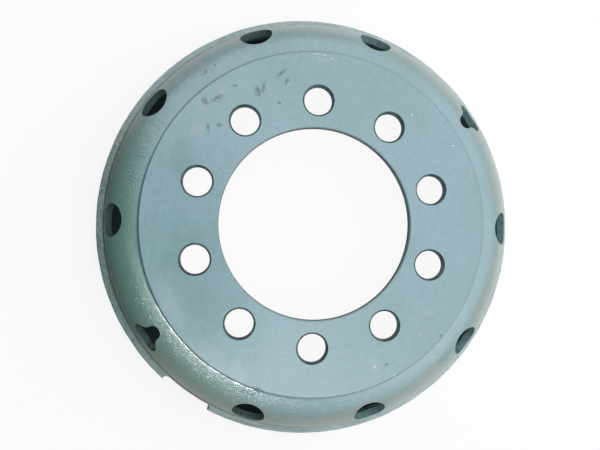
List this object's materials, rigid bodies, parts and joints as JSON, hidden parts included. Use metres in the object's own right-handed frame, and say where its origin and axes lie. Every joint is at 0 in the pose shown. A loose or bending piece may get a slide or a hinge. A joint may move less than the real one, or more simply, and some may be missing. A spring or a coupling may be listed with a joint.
{
  "type": "truck wheel disc",
  "caption": "Domed steel disc of a truck wheel: flat face with centre bore and ball-seated bolt holes, hand holes in the shoulder, flared neck and rim flange with a valve notch.",
  "frame": {"origin": "on the wheel axis, level with the flange edge that the disc rests on", "axes": "+Z along the wheel axis, out of the flat mounting face; +X through a round hand hole"},
  "size_m": [0.525, 0.525, 0.108],
  "materials": {
    "enamel": "semi-gloss grey-green enamel over rough steel, chipped and scuffed"
  },
  "bodies": {
    "root": {"wheel_disc": "enamel"}
  },
  "joints": []
}
